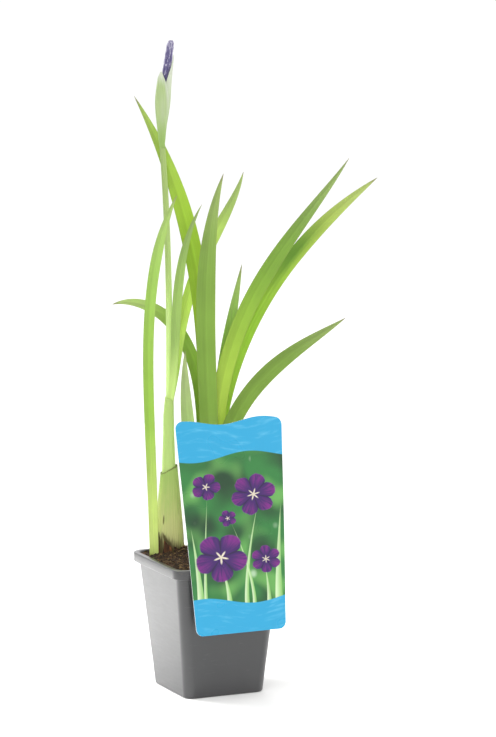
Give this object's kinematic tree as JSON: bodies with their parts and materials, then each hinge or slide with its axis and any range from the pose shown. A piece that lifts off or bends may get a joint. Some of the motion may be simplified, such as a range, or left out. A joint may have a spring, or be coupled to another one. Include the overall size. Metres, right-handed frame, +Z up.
{
  "type": "potted japanese iris",
  "caption": "Young Japanese iris in a square black nursery pot: sword-shaped leaves in fans, a slender flower stem with a furled bud, and a picture card hooked over the front rim.",
  "frame": {"origin": "middle of the underside of the pot, on the surface that the pot stands on", "axes": "+Z up, -Y towards the side with the picture card, +X to the right of someone facing the card"},
  "size_m": [0.2002, 0.1167, 0.4835],
  "materials": {
    "pot_plastic": "satin black nursery plastic",
    "peat": "moist dark peat with fibres and crumbs",
    "card": "glossy printed plastic card",
    "leaf_green": "waxy leaf with fine lengthwise veins",
    "stem_green": "smooth waxy stem",
    "sheath_pale": "pale fibrous sheath",
    "bract_green": "pale green papery bract",
    "bud_purple": "furled purple petals"
  },
  "bodies": {
    "root": {"pot": "pot_plastic", "soil": "peat", "label": "card", "leaf_tall_left": "leaf_green", "leaf_upright": "leaf_green", "leaf_long_right": "leaf_green", "leaf_far_right": "leaf_green", "leaf_low_right": "leaf_green", "leaf_slender": "leaf_green", "leaf_arching": "leaf_green", "leaf_behind_stem": "leaf_green", "leaf_before_stem": "leaf_green", "leaf_outer_left": "leaf_green", "leaf_young": "leaf_green", "sheath_stem": "sheath_pale", "sheath_flowering_fan": "sheath_pale", "sheath_leafy_fan": "sheath_pale", "stem": "stem_green", "bud": "bud_purple", "bract_inner": "bract_green", "bract_outer": "bract_green"}
  },
  "joints": []
}
